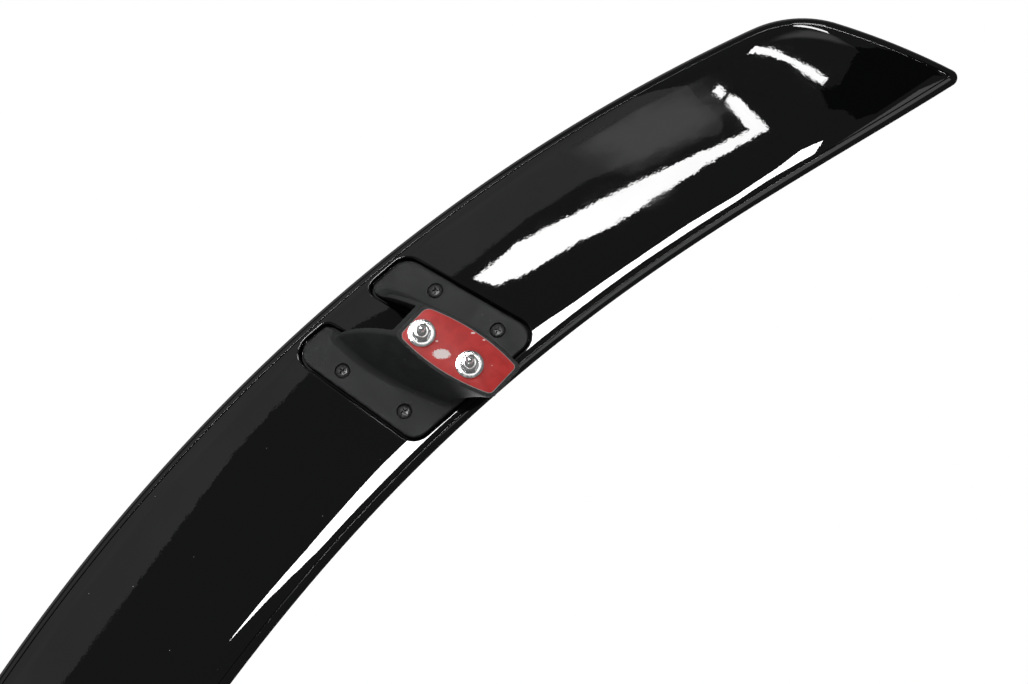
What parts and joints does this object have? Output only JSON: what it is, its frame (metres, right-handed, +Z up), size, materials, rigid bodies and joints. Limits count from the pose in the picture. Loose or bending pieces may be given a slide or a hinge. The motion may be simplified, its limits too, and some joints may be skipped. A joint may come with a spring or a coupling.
{
  "type": "trunk spoiler",
  "caption": "Gloss black swept wing for a boot lid, with two hollow moulded feet, red-lined tape pads, threaded studs, nuts and washers.",
  "frame": {"origin": "on the centre plane, amid the four deck studs, in the plane where the pads meet the deck", "axes": "+X to the car's right, +Y forward (the hollow edge of the wing), +Z up"},
  "size_m": [1.2682, 0.301, 0.1098],
  "materials": {
    "paint": "gloss clear-coated paint",
    "foot": "fine satin grain",
    "tape": "soft foam",
    "liner": "smooth film",
    "brass": "plain",
    "zinc": "bright zinc",
    "black_screw": "black oxide"
  },
  "bodies": {
    "root": {"wing_upper_shell": "paint", "wing_lower_shell": "paint", "foot_left": "foot", "foam_tape_left": "tape", "tape_liner_left": "liner", "foot_right": "foot", "foam_tape_right": "tape", "tape_liner_right": "liner", "insert_left_rear": "brass", "stud_left_rear": "zinc", "washer_left_rear": "zinc", "nut_left_rear": "zinc", "insert_left_front": "brass", "stud_left_front": "zinc", "washer_left_front": "zinc", "nut_left_front": "zinc", "insert_right_rear": "brass", "stud_right_rear": "zinc", "washer_right_rear": "zinc", "nut_right_rear": "zinc", "insert_right_front": "brass", "stud_right_front": "zinc", "washer_right_front": "zinc", "nut_right_front": "zinc", "foot_screw_left_rear_inner": "black_screw", "foot_screw_left_rear_outer": "black_screw", "foot_screw_left_front_inner": "black_screw", "foot_screw_left_front_outer": "black_screw", "foot_screw_right_rear_inner": "black_screw", "foot_screw_right_rear_outer": "black_screw", "foot_screw_right_front_inner": "black_screw", "foot_screw_right_front_outer": "black_screw"}
  },
  "joints": []
}
